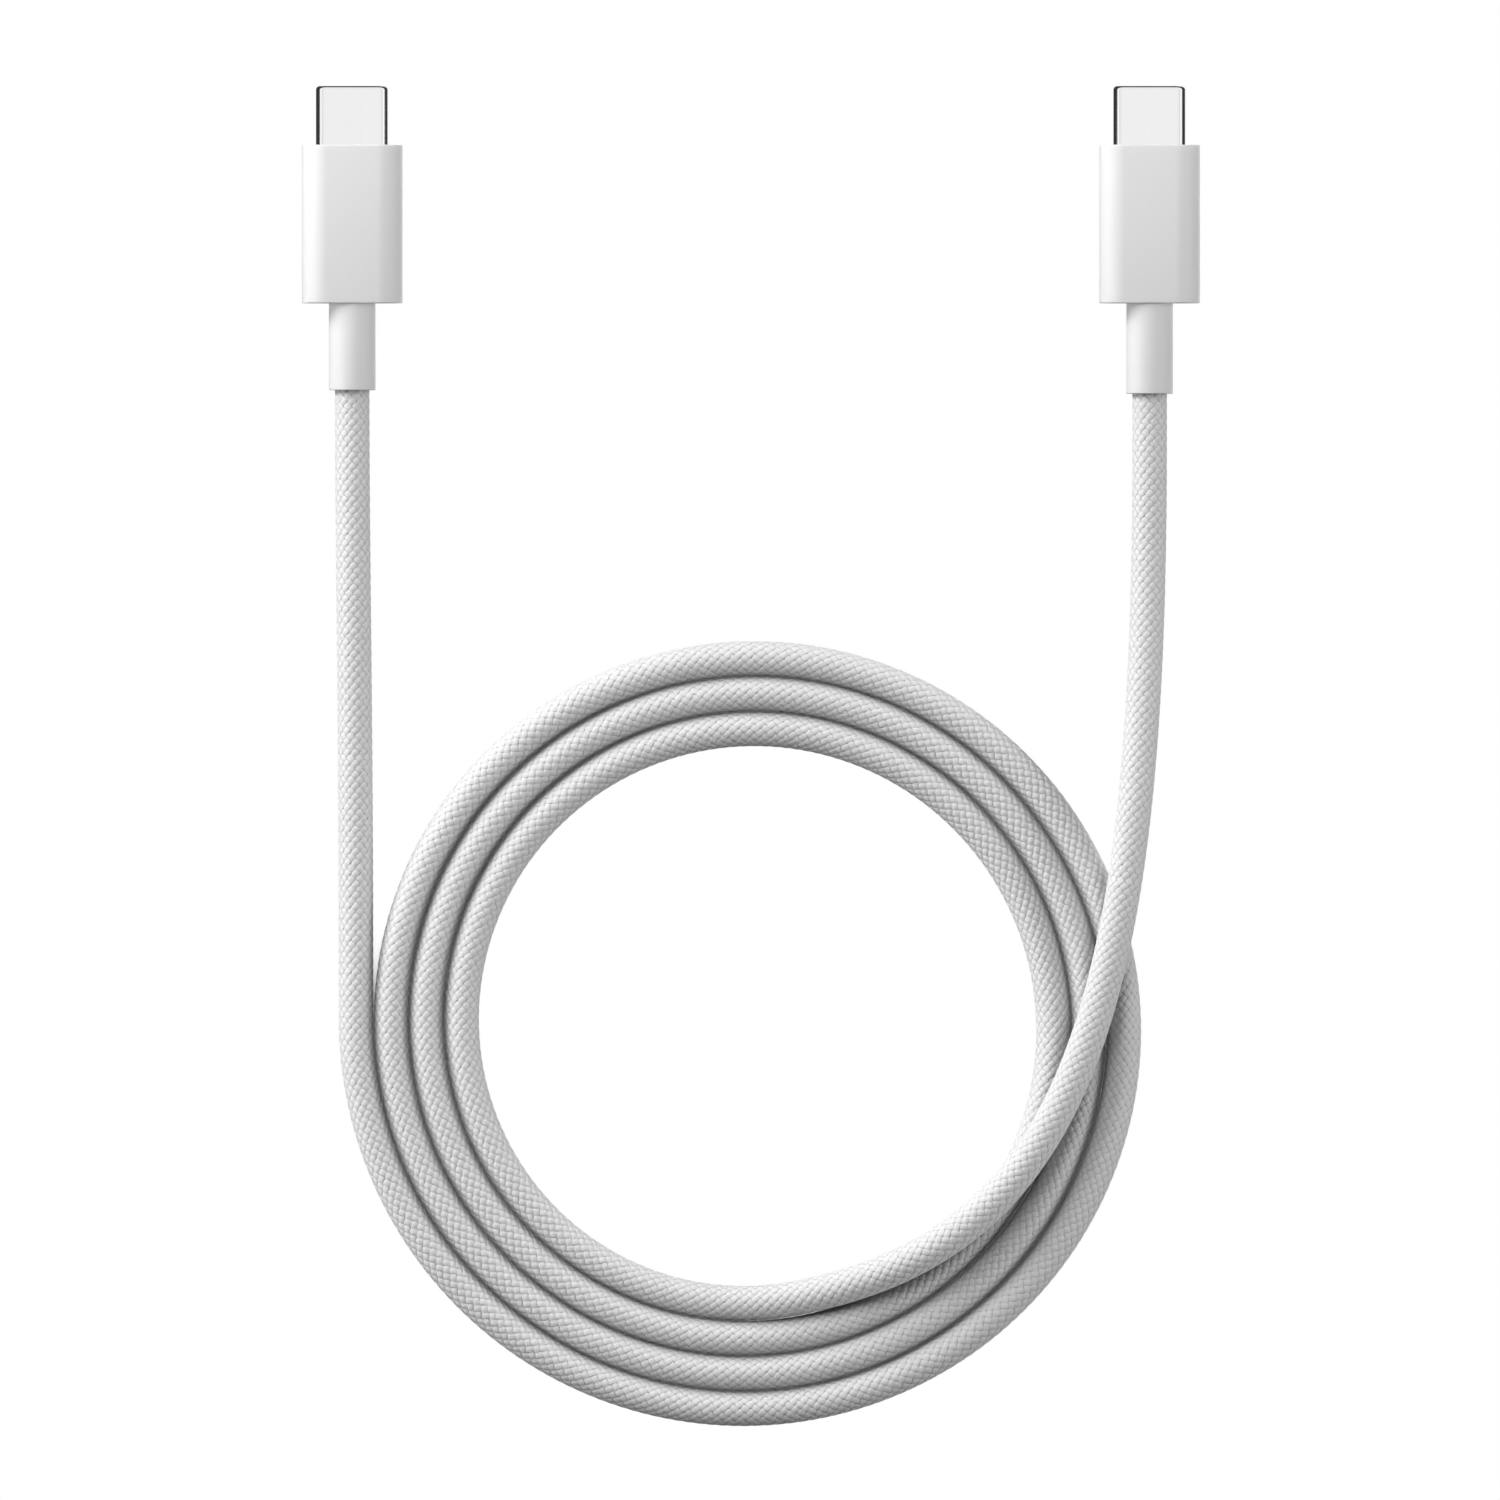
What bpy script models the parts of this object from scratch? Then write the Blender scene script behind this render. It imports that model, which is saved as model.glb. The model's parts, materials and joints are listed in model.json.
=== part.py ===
"""A braided charging cable with a small reversible metal plug on each end, lying coiled flat.

Frame: the origin is on the table under the middle of the whole object, +Z is up, and both plugs
point to +Y. The coil turns inwards anticlockwise from the left lead; its inner end rises, crosses
over the coil's right side and runs to the right plug. Each lead bends at four hinges between its
plug and the coil.
"""

from math import cos, pi, radians, sin, tau

import bmesh
import bpy
from mathutils import Matrix, Vector
from mathutils.geometry import interpolate_bezier

MM = 0.001

# ---- Driving dimensions, in millimetres -------------------------------------------------------

# Coil: the cable's centre line is a flat spiral.
COIL_CENTRE = Vector((-0.25, -30.59, 0.0))
CABLE_RADIUS = 1.95
COIL_RADIUS = 44.7  # of the centre line where the left lead meets the coil
COIL_PITCH = 4.01  # from one turn to the next
COIL_START, COIL_END = 180.0, 1360.0  # angles that the spiral runs between, over three turns
STATION_STEP = 15.0  # the same place in every turn, so that the turns' facets lie side by side
CROSSING_HEIGHT = CABLE_RADIUS + COIL_PITCH  # centre height of the strand that lies over the coil
RISE_BEFORE = 10.0  # length along the cable, before and after the end of the spiral
RISE_AFTER = 20.0

# Leads: how far their curves reach, and the distances above the coil's centre between which each
# one comes down from the plug's height.
LEFT_RELIEF_REACH, LEFT_COIL_REACH = 20.0, 40.0
LEFT_DROP = (5.0, 60.0)
RIGHT_BEND_AT = 65.9  # above the coil's centre; higher up the right lead is straight
RIGHT_BEND_REACH, COIL_END_REACH = 64.3, 32.5
RIGHT_DROP = (14.0, 58.0)

# Layers of the cable, as outer radii and walls.
SLEEVE_WALL = 0.25
JACKET_RADIUS, JACKET_WALL = 1.55, 0.3
SHIELD_RADIUS, SHIELD_WALL = 1.18, 0.1
POWER_WIRE_RADIUS = 0.34
SIGNAL_WIRE_RADIUS = 0.24
WIRE_CIRCLE = 0.56  # radius of the circle that the five wires lie on
CORE_RADIUS = 1.6  # jacket and wires together, in the links of a lead

# Plug, along its own axis: 0 is the housing's front face and + points to the tip.
PLUG_AXIS_X = {"left": -45.375, "right": 45.375}
RELIEF_LENGTH = {"left": 9.9, "right": 10.3}
FRONT_Y = 69.54
HOUSING_WIDTH, HOUSING_HEIGHT, HOUSING_LENGTH = 11.45, 5.8, 18.0
HOUSING_WALL = 0.7
HOUSING_EDGE = 0.25
PLUG_AXIS_Z = HOUSING_HEIGHT / 2
SHELL_WIDTH, SHELL_HEIGHT, SHELL_WALL = 8.25, 2.4, 0.3
SHELL_TIP, SHELL_ROOT = 6.7, -4.0
RELIEF_RADIUS = 2.65

# Inside a plug: cross-sections as (width, height), and spans along its axis as (back, front).
HOUSING_HOLE = 2.25
RELIEF_GAP = 0.3  # between the housing's back and the strain relief's collar
RELIEF_LIP = 0.3
NECK_RADIUS, NECK_FRONT = 2.1, -16.6
CORE_BORE, SLEEVE_BORE = 1.75, 2.15
SLEEVE_STOP = 0.7  # wall between the sleeve's bore and the collar
FLANGE, FLANGE_SPAN = (8.0, 3.9), (-17.1, -16.1)
MOULD, MOULD_SPAN = (9.6, 4.0), (-15.8, -0.25)
POCKET, POCKET_SPAN = (8.8, 3.2), (-13.3, -1.2)
MOUTH = (8.6, 2.75)
MOULD_CABLE_HOLE = 1.85
INSULATOR, INSULATOR_SPAN = (7.5, 1.65), (-3.0, 6.3)
TONGUE_SLOT = (6.8, 1.2)
LATCH_WINDOW, LATCH_WINDOW_SPAN = 0.7, (-2.3, 5.6)
SPRING_WINDOW, SPRING_WINDOW_SPAN = 6.1, (4.7, 5.8)
SPRING_WIDTH, SPRING_BACK, SPRING_SPINE, SPRING_TIPS = 5.8, 4.8, 5.0, 5.7
SPRING_INNER, SPRING_OUTER = 0.62, 0.74
SPRING_SPLIT_AT, SPRING_SPLIT = 1.0, 0.3  # places and width of the two splits in each comb
CONTACT_INNER, CONTACT_OUTER = 0.43, 0.56
CONTACT_BACK, CONTACT_FRONT = -2.0, 4.6
CONTACT_HALF_WIDTH = 0.125
SIGNAL_CONTACTS = {"cc": -0.75, "dplus": -0.25, "dminus": 0.25}
VBUS_X, GROUND_X = 1.25, 2.75
VBUS_BAR_AT, GROUND_BAR_AT, BAR_LENGTH, BAR_HEIGHT = 0.6, 0.0, 0.3, 0.4
LATCH_ROOT = -1.9  # the latch arms flex from here
LATCH_X = 3.52
LATCH_THICKNESS, LATCH_HEIGHT, LATCH_LENGTH = 0.2, 0.56, 7.1
CARD, CARD_SPAN = (6.4, 0.8), (-11.6, -0.7)
CHIP, CHIP_SPAN, CHIP_BOTTOM = (2.0, 0.45), (-8.0, -6.0), 0.43
CAN, CAN_WALL, CAN_SPAN, CAN_SPLIT = (8.4, 2.9), 0.2, (-13.0, -4.3), 0.06
STUB_FRONT, STUB_CORE_FRONT = -19.4, -13.6
PAST = 1.0  # a cutter runs this far past the face it opens

# Hinges of a lead: distances from the end of the strain relief, along the cable.
PLUG_SWING_AT, PLUG_NOD_AT, LEAD_LIFT_AT, LEAD_SWING_AT = 7.0, 21.0, 35.0, 49.0
LINK_CUT = 0.8  # a flat end stays this far from its hinge, so that it clears at full bend
BALL_SETBACK = 1.8  # distance from a hinge to the centre of a core's rounded end

MATERIALS = {
    "braid_white": ((0.86, 0.86, 0.85), 0.75, 0.0),
    "satin_white": ((0.90, 0.90, 0.89), 0.35, 0.0),
    "jacket_white": ((0.78, 0.78, 0.76), 0.55, 0.0),
    "foil": ((0.75, 0.76, 0.78), 0.25, 1.0),
    "plug_metal": ((0.70, 0.70, 0.72), 0.22, 1.0),
    "spring_steel": ((0.62, 0.62, 0.64), 0.30, 1.0),
    "contact_gold": ((0.90, 0.70, 0.32), 0.25, 1.0),
    "insulator_black": ((0.03, 0.03, 0.035), 0.45, 0.0),
    "mould_grey": ((0.55, 0.56, 0.58), 0.60, 0.0),
    "board_green": ((0.02, 0.16, 0.08), 0.40, 0.0),
    "chip_black": ((0.02, 0.02, 0.02), 0.35, 0.0),
    "wire_red": ((0.70, 0.03, 0.03), 0.45, 0.0),
    "wire_black": ((0.02, 0.02, 0.02), 0.45, 0.0),
    "wire_white": ((0.85, 0.85, 0.85), 0.45, 0.0),
    "wire_green": ((0.03, 0.40, 0.10), 0.45, 0.0),
    "wire_blue": ((0.04, 0.15, 0.60), 0.45, 0.0),
}


# ---- Scene, collections and materials ---------------------------------------------------------

for old in list(bpy.data.objects):
    bpy.data.objects.remove(old)

parts = bpy.data.collections.new("charging_cable")
cutters = bpy.data.collections.new("cutters")
for collection in (parts, cutters):
    bpy.context.scene.collection.children.link(collection)


def material(name):
    """The named material, made on first use."""
    found = bpy.data.materials.get(name)
    if found:
        return found
    color, roughness, metallic = MATERIALS[name]
    made = bpy.data.materials.new(name)
    made.use_nodes = True
    principled = made.node_tree.nodes["Principled BSDF"]
    principled.inputs["Base Color"].default_value = (*color, 1.0)
    principled.inputs["Roughness"].default_value = roughness
    principled.inputs["Metallic"].default_value = metallic
    return made


# ---- Modelling helpers: positions come in millimetres -----------------------------------------


def keep(name, data, finish):
    """A part: an object with its own material, in the parts collection."""
    made = bpy.data.objects.new(name, data)
    parts.objects.link(made)
    made.data.materials.append(material(finish))
    return made


def pivot(name, place, parent=None):
    """An empty on a joint's axis, which the pieces of the moving body hang from."""
    made = bpy.data.objects.new(name, None)
    made.empty_display_size = 3 * MM
    parts.objects.link(made)
    seat(made, place, parent)
    return made


def seat(piece, place, parent):
    """Puts the piece at a place in the world, under its parent. No pivot is turned or scaled."""
    above = parent.matrix_world.translation if parent else Vector((0, 0, 0))
    piece.parent = parent
    piece.location = Vector(place) * MM - above
    piece.matrix_world = Matrix.Translation(Vector(place) * MM)
    return piece


def box_mesh(name, low, high):
    """A box from its lowest to its highest corner."""
    mesh = bpy.data.meshes.new(name)
    bm = bmesh.new()
    bmesh.ops.create_cube(bm, size=1.0)
    size = [b - a for a, b in zip(low, high)]
    centre = [(a + b) / 2 for a, b in zip(low, high)]
    bmesh.ops.scale(bm, vec=Vector(size) * MM, verts=bm.verts)
    bmesh.ops.translate(bm, vec=Vector(centre) * MM, verts=bm.verts)
    bm.to_mesh(mesh)
    bm.free()
    return mesh


def mesh_of(source):
    """The evaluated mesh of a helper object with its caps welded. The helper is removed."""
    bpy.context.view_layer.update()
    graph = bpy.context.evaluated_depsgraph_get()
    mesh = bpy.data.meshes.new_from_object(source.evaluated_get(graph))
    bm = bmesh.new()
    bm.from_mesh(mesh)
    bmesh.ops.remove_doubles(bm, verts=bm.verts, dist=1e-7)
    bmesh.ops.recalc_face_normals(bm, faces=bm.faces)
    bm.to_mesh(mesh)
    bm.free()
    bpy.data.objects.remove(source)
    return mesh


def plate_mesh(name, outline, low, high):
    """A flat outline, filled and extruded along Z from low to high."""
    curve = bpy.data.curves.new(name, "CURVE")
    curve.dimensions = "2D"
    curve.fill_mode = "BOTH"
    curve.extrude = (high - low) / 2 * MM
    spline = curve.splines.new("POLY")
    spline.points.add(len(outline) - 1)
    for point, (x, y) in zip(spline.points, outline):
        point.co = (x * MM, y * MM, 0, 1)
    spline.use_cyclic_u = True
    helper = bpy.data.objects.new(name, curve)
    parts.objects.link(helper)
    mesh = mesh_of(helper)
    mesh.transform(Matrix.Translation((0, 0, (low + high) / 2 * MM)))
    return mesh


def prism_mesh(name, outline, back, front):
    """A cross-section in X and Z, drawn along the plug's axis from back to front."""
    mesh = plate_mesh(name, outline, -front, -back)
    mesh.transform(Matrix.Rotation(radians(90), 4, "X"))
    return mesh


def stadium(width, height, steps=6):
    """An outline with straight top and bottom and fully round sides."""
    radius = height / 2
    reach = width / 2 - radius
    turn = [pi * i / steps - pi / 2 for i in range(steps + 1)]
    right = [(reach + radius * cos(a), radius * sin(a)) for a in turn]
    return right + [(-x, -z) for x, z in right]


def circle(radius, steps=12):
    return [(radius * cos(tau * i / steps), radius * sin(tau * i / steps)) for i in range(steps)]


def combine(piece, mesh, operation="DIFFERENCE"):
    """Cuts the mesh from the piece, or joins it on. Both are in the piece's own coordinates."""
    cutter = bpy.data.objects.new(mesh.name + "_cutter", mesh)
    cutters.objects.link(cutter)
    cutter.hide_render = True
    cutter.display_type = "WIRE"
    cutter.parent = piece
    modifier = piece.modifiers.new(operation.lower(), "BOOLEAN")
    modifier.operation = operation
    modifier.solver = "EXACT"
    modifier.object = cutter
    return piece


def wire_curve(name, points, radius, resolution, capped):
    """A round wire through the points. Bevel resolution 0, 1 and 3 give 4, 6 and 10 sides."""
    curve = bpy.data.curves.new(name, "CURVE")
    curve.dimensions = "3D"
    curve.twist_mode = "Z_UP"
    curve.bevel_depth = radius * MM
    curve.bevel_resolution = resolution
    curve.use_fill_caps = capped
    spline = curve.splines.new("POLY")
    spline.points.add(len(points) - 1)
    for point, place in zip(spline.points, points):
        point.co = (*(Vector(place) * MM), 1)
    return curve


def tube(name, points, radius, wall, resolution, finish):
    """An open tube: a hollow wire whose wall grows inwards."""
    made = keep(name, wire_curve(name, points, radius, resolution, capped=False), finish)
    solidify = made.modifiers.new("wall", "SOLIDIFY")
    solidify.thickness = wall * MM
    solidify.offset = -1.0
    solidify.use_even_offset = True
    return made


def capsule_mesh(name, start, end, radius):
    """A rod with ball ends, whose ball centres are start and end."""
    bm = bmesh.new()
    bmesh.ops.create_uvsphere(bm, u_segments=8, v_segments=6, radius=radius * MM)
    length = (end - start).length * MM
    for vert in bm.verts:
        if vert.co.z > 1e-6:
            vert.co.z += length
    turn = (end - start).to_track_quat("Z", "Y").to_matrix().to_4x4()
    bmesh.ops.transform(bm, matrix=Matrix.Translation(start * MM) @ turn, verts=bm.verts)
    mesh = bpy.data.meshes.new(name)
    bm.to_mesh(mesh)
    bm.free()
    return mesh


def turned(name, profile, finish, steps=16):
    """A profile of (radius, place along the plug's axis), turned round the plug's axis."""
    mesh = bpy.data.meshes.new(name)
    corners = [(r * MM, 0, y * MM) for r, y in profile]
    edges = [(i, (i + 1) % len(corners)) for i in range(len(corners))]
    mesh.from_pydata(corners, edges, [])
    helper = bpy.data.objects.new(name, mesh)
    parts.objects.link(helper)
    screw = helper.modifiers.new("turn", "SCREW")
    screw.steps = steps
    screw.render_steps = steps
    screw.use_merge_vertices = True
    screw.merge_threshold = 1e-5
    solid = mesh_of(helper)
    solid.transform(Matrix.Rotation(radians(-90), 4, "X"))
    return keep(name, solid, finish)


def smoothstep(value):
    value = min(max(value, 0.0), 1.0)
    return value * value * (3 - 2 * value)


# ---- The cable's centre line ------------------------------------------------------------------


def spiral_point(angle):
    """The coil's centre line, at an angle from COIL_START, where the left lead comes in."""
    radius = COIL_RADIUS - COIL_PITCH * (angle - COIL_START) / 360
    to_go = radians(COIL_END - angle) * radius
    lift = smoothstep((RISE_BEFORE - to_go) / (RISE_BEFORE + RISE_AFTER))
    height = CABLE_RADIUS + (CROSSING_HEIGHT - CABLE_RADIUS) * lift
    turn = radians(angle)
    return COIL_CENTRE + Vector((radius * cos(turn), radius * sin(turn), height))


def relief_end(side):
    return FRONT_Y - HOUSING_LENGTH - RELIEF_LENGTH[side]


def up_share(place, drop):
    """How far a place is up the stretch where a lead rises to the plug's height, from 0 to 1."""
    low, high = drop
    return smoothstep((place.y - COIL_CENTRE.y - low) / (high - low))


def left_lead(steps=160):
    """From the strain relief down to the start of the coil."""
    top = Vector((PLUG_AXIS_X["left"], relief_end("left"), 0))
    bottom = spiral_point(COIL_START)
    below = top - Vector((0, LEFT_RELIEF_REACH, 0))
    above = bottom + Vector((0, LEFT_COIL_REACH, 0))
    plan = interpolate_bezier(top, below, above, bottom, steps)
    for place in plan:
        place.z = CABLE_RADIUS + (PLUG_AXIS_Z - CABLE_RADIUS) * up_share(place, LEFT_DROP)
    return plan


def right_lead(steps=240, straight_steps=20):
    """From the strain relief down, over the coil's right side, to the end of the spiral."""
    top = Vector((PLUG_AXIS_X["right"], relief_end("right"), 0))
    bend = Vector((top.x, COIL_CENTRE.y + RIGHT_BEND_AT, 0))
    bottom = spiral_point(COIL_END)
    onward = bottom - spiral_point(COIL_END - 0.1)
    onward.z = 0
    below = bend - Vector((0, RIGHT_BEND_REACH, 0))
    beyond = bottom + onward.normalized() * COIL_END_REACH
    plan = [top.lerp(bend, i / straight_steps) for i in range(straight_steps)]
    plan += interpolate_bezier(bend, below, beyond, bottom, steps)
    lengths = travelled(plan)
    for place, length in zip(plan, lengths):
        from_spiral = lengths[-1] - length
        lift = smoothstep((RISE_BEFORE + from_spiral) / (RISE_BEFORE + RISE_AFTER))
        height = CABLE_RADIUS + (CROSSING_HEIGHT - CABLE_RADIUS) * lift
        place.z = height + (PLUG_AXIS_Z - height) * up_share(place, RIGHT_DROP)
    return plan


def travelled(points):
    """The distance from the first point to each point, in plan."""
    lengths = [0.0]
    for a, b in zip(points, points[1:]):
        lengths.append(lengths[-1] + (b.xy - a.xy).length)
    return lengths


def point_along(points, distance):
    lengths = travelled(points)
    for i in range(1, len(points)):
        if lengths[i] >= distance:
            share = (distance - lengths[i - 1]) / (lengths[i] - lengths[i - 1])
            return points[i - 1].lerp(points[i], share)
    return points[-1].copy()


LEADS = {"left": left_lead(), "right": right_lead()}


def coil_line(left_step=12.0, right_steps=11):
    """The centre line of the coiled part, from the left lead's lowest hinge to the right one's."""
    left, right = LEADS["left"], LEADS["right"]
    left_stops = [LEAD_SWING_AT + LINK_CUT, LEAD_SWING_AT + left_step]
    points = [point_along(left, stop) for stop in left_stops]
    stations = int((COIL_END - COIL_START) / STATION_STEP)
    points += [spiral_point(COIL_START + i * STATION_STEP) for i in range(stations + 1)]
    points.append(spiral_point(COIL_END))
    whole = travelled(right)[-1]
    last = LEAD_SWING_AT + LINK_CUT
    stops = [whole + (last - whole) * i / right_steps for i in range(1, right_steps + 1)]
    return points + [point_along(right, stop) for stop in stops]


def beside(points, offset, turn):
    """The line that runs beside a centre line, at an offset and a turn round it."""
    moved = []
    for i, place in enumerate(points):
        ahead = points[min(i + 1, len(points) - 1)] - points[max(i - 1, 0)]
        across = Vector((-ahead.y, ahead.x, 0)).normalized()
        up = ahead.cross(across).normalized()
        moved.append(place + (across * cos(turn) + up * sin(turn)) * offset)
    return moved


# ---- Coiled part ------------------------------------------------------------------------------


def build_coil():
    """The layers of the cable: braid, jacket, shield and five wires on a circle."""
    line = coil_line()
    tube("coil_sleeve", line, CABLE_RADIUS, SLEEVE_WALL, 3, "braid_white")
    tube("coil_jacket", line, JACKET_RADIUS, JACKET_WALL, 1, "jacket_white")
    tube("coil_shield", line, SHIELD_RADIUS, SHIELD_WALL, 1, "foil")
    wires = [
        ("vbus_wire", POWER_WIRE_RADIUS, "wire_red"),
        ("dplus_wire", SIGNAL_WIRE_RADIUS, "wire_green"),
        ("gnd_wire", POWER_WIRE_RADIUS, "wire_black"),
        ("cc_wire", SIGNAL_WIRE_RADIUS, "wire_blue"),
        ("dminus_wire", SIGNAL_WIRE_RADIUS, "wire_white"),
    ]
    for i, (name, radius, finish) in enumerate(wires):
        path = beside(line, WIRE_CIRCLE, tau * i / len(wires))
        keep(name, wire_curve(name, path, radius, 0, capped=True), finish)


# ---- Links of a lead --------------------------------------------------------------------------


def build_link(name, lower, upper, hinge):
    """One link: a length of sleeve round a core with ball ends, between two hinges."""
    along = (upper - lower).normalized()
    ends = [lower + along * LINK_CUT, upper - along * LINK_CUT]
    places = [place - lower for place in ends]
    sleeve = tube(name + "_sleeve", places, CABLE_RADIUS, SLEEVE_WALL, 3, "braid_white")
    seat(sleeve, lower, hinge)
    start = along * BALL_SETBACK
    end = (upper - lower) - along * BALL_SETBACK
    core = keep(name + "_core", capsule_mesh(name, start, end, CORE_RADIUS), "jacket_white")
    seat(core, lower, hinge)


# ---- Plug: all places are in the plug's own frame ----------------------------------------------


def build_housing(side):
    """The outer shell: open at the front, with a round hole for the strain relief behind."""
    name = side + "_housing"
    outline = stadium(HOUSING_WIDTH, HOUSING_HEIGHT, steps=10)
    made = keep(name, prism_mesh(name, outline, -HOUSING_LENGTH, 0), "satin_white")
    edge = made.modifiers.new("edge", "BEVEL")
    edge.width = HOUSING_EDGE * MM
    edge.segments = 2
    edge.limit_method = "ANGLE"
    edge.angle_limit = radians(40)
    inside = stadium(HOUSING_WIDTH - 2 * HOUSING_WALL, HOUSING_HEIGHT - 2 * HOUSING_WALL)
    back = HOUSING_WALL - HOUSING_LENGTH
    combine(made, prism_mesh(name + "_inside", inside, back, PAST))
    hole = circle(HOUSING_HOLE)
    combine(made, prism_mesh(name + "_hole", hole, -HOUSING_LENGTH - PAST, back + PAST))
    return made


def build_strain_relief(side):
    """A sleeve over the cable, with a neck through the housing and a wide flange inside it."""
    name = side + "_strain_relief"
    tip = -HOUSING_LENGTH - RELIEF_LENGTH[side]
    collar = -HOUSING_LENGTH - RELIEF_GAP
    rough_bore = CORE_BORE - 0.25  # the last cut opens it, so that the flange gets the same bore
    profile = [
        (NECK_RADIUS, NECK_FRONT),
        (NECK_RADIUS, collar),
        (RELIEF_RADIUS - RELIEF_LIP, collar),
        (RELIEF_RADIUS, collar - RELIEF_LIP),
        (RELIEF_RADIUS, tip + RELIEF_LIP),
        (RELIEF_RADIUS - RELIEF_LIP, tip),
        (SLEEVE_BORE, tip),
        (SLEEVE_BORE, collar - SLEEVE_STOP),
        (rough_bore, collar - SLEEVE_STOP),
        (rough_bore, NECK_FRONT),
    ]
    made = turned(name, profile, "satin_white")
    combine(made, prism_mesh(name + "_flange", stadium(*FLANGE), *FLANGE_SPAN), "UNION")
    bore_span = (collar - SLEEVE_STOP - PAST, FLANGE_SPAN[1] + PAST)
    return combine(made, prism_mesh(name + "_bore", circle(CORE_BORE, 16), *bore_span))


def build_inner_mould(side):
    """The inner moulding: a pocket for the shield cans, a front opening and a cable hole."""
    name = side + "_inner_mould"
    made = keep(name, prism_mesh(name, stadium(*MOULD), *MOULD_SPAN), "mould_grey")
    back, front = POCKET_SPAN
    combine(made, prism_mesh(name + "_pocket", stadium(*POCKET), back, front))
    combine(made, prism_mesh(name + "_mouth", stadium(*MOUTH), front - PAST, PAST))
    hole = circle(MOULD_CABLE_HOLE)
    combine(made, prism_mesh(name + "_cable", hole, MOULD_SPAN[0] - PAST, back + PAST))
    return made


def build_shell(side):
    """The metal tongue shell, open at both ends."""
    name = side + "_plug_shell"
    outer = stadium(SHELL_WIDTH, SHELL_HEIGHT, steps=8)
    inner = stadium(SHELL_WIDTH - 2 * SHELL_WALL, SHELL_HEIGHT - 2 * SHELL_WALL, steps=8)
    made = keep(name, prism_mesh(name, outer, SHELL_ROOT, SHELL_TIP), "plug_metal")
    return combine(made, prism_mesh(name + "_inside", inner, SHELL_ROOT - PAST, SHELL_TIP + PAST))


def build_insulator(side):
    """The contact carrier: a slot right through, and windows for the latches and the springs."""
    name = side + "_insulator"
    made = keep(name, prism_mesh(name, stadium(*INSULATOR), *INSULATOR_SPAN), "insulator_black")
    width, height = INSULATOR
    back, front = INSULATOR_SPAN
    slot = (TONGUE_SLOT[0] / 2, front + PAST, TONGUE_SLOT[1] / 2)
    combine(made, box_mesh(name + "_slot", (-slot[0], back - PAST, -slot[2]), slot))
    rear, fore = LATCH_WINDOW_SPAN
    latches = (width / 2 + PAST, fore, LATCH_WINDOW / 2)
    combine(made, box_mesh(name + "_latches", (-latches[0], rear, -latches[2]), latches))
    rear, fore = SPRING_WINDOW_SPAN
    springs = (SPRING_WINDOW / 2, fore, height / 2 + PAST)
    combine(made, box_mesh(name + "_springs", (-springs[0], rear, -springs[2]), springs))
    return made


def finger(name, x, row):
    """One contact finger. The row is 1 for the upper contacts and -1 for the lower ones."""
    heights = sorted((row * CONTACT_INNER, row * CONTACT_OUTER))
    low = (x - CONTACT_HALF_WIDTH, CONTACT_BACK, heights[0])
    high = (x + CONTACT_HALF_WIDTH, CONTACT_FRONT, heights[1])
    return box_mesh(name, low, high)


def build_bussed_contacts(name, x, bar_y):
    """Two upper and two lower fingers at -x and +x, joined by a bar between the rows."""
    half, front, middle = CONTACT_HALF_WIDTH, bar_y + BAR_LENGTH, BAR_HEIGHT / 2
    post_top = (CONTACT_INNER + CONTACT_OUTER) / 2
    bar = box_mesh(name, (-x - half, bar_y, -middle), (x + half, front, middle))
    made = keep(name, bar, "contact_gold")
    for sign in (-1, 1):
        left, right = sign * x - half, sign * x + half
        post = box_mesh(name + "_post", (left, bar_y, -post_top), (right, front, post_top))
        combine(made, post, "UNION")
        for row in (-1, 1):
            combine(made, finger(name + "_finger", sign * x, row), "UNION")
    return made


def latch_outline(hand):
    """A latch arm with a hook that reaches inwards near its tip, seen from above."""
    outer, inner, hook = LATCH_THICKNESS / 2, -LATCH_THICKNESS / 2, -1.5 * LATCH_THICKNESS
    points = [
        (outer, inner),
        (outer, LATCH_LENGTH),
        (hook, LATCH_LENGTH - 0.2),
        (hook, LATCH_LENGTH - 0.7),
        (inner, LATCH_LENGTH - 0.9),
        (inner, inner),
    ]
    return [(hand * x, y) for x, y in points]


def build_springs(side):
    """A comb of three grounding fingers above the slot and one below it."""
    edge, spine, tips = SPRING_WIDTH / 2, SPRING_SPINE, SPRING_TIPS
    outline = [(-edge, SPRING_BACK), (edge, SPRING_BACK), (edge, tips)]
    for split in (SPRING_SPLIT_AT, -SPRING_SPLIT_AT):
        right, left = split + SPRING_SPLIT / 2, split - SPRING_SPLIT / 2
        outline += [(right, tips), (right, spine), (left, spine), (left, tips)]
    outline += [(-edge, tips)]
    made = []
    for part, sign in (("upper", 1), ("lower", -1)):
        name = f"{side}_ground_spring_{part}"
        low, high = sorted((sign * SPRING_INNER, sign * SPRING_OUTER))
        made.append(keep(name, plate_mesh(name, outline, low, high), "spring_steel"))
    return made


def build_cans(side):
    """The metal can round the circuit board, folded from two halves."""
    (width, height), (back, front) = CAN, CAN_SPAN
    inside = stadium(width - 2 * CAN_WALL, height - 2 * CAN_WALL)
    made = []
    for part, sign in (("upper", 1), ("lower", -1)):
        name = f"{side}_shield_can_{part}"
        half = keep(name, prism_mesh(name, stadium(width, height), back, front), "foil")
        combine(half, prism_mesh(name + "_inside", inside, back - PAST, front + PAST))
        split = sorted((CAN_SPLIT * sign, -height * sign))
        low = (-width, back - PAST, split[0])
        combine(half, box_mesh(name + "_split", low, (width, front + PAST, split[1])))
        made.append(half)
    return made


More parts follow.
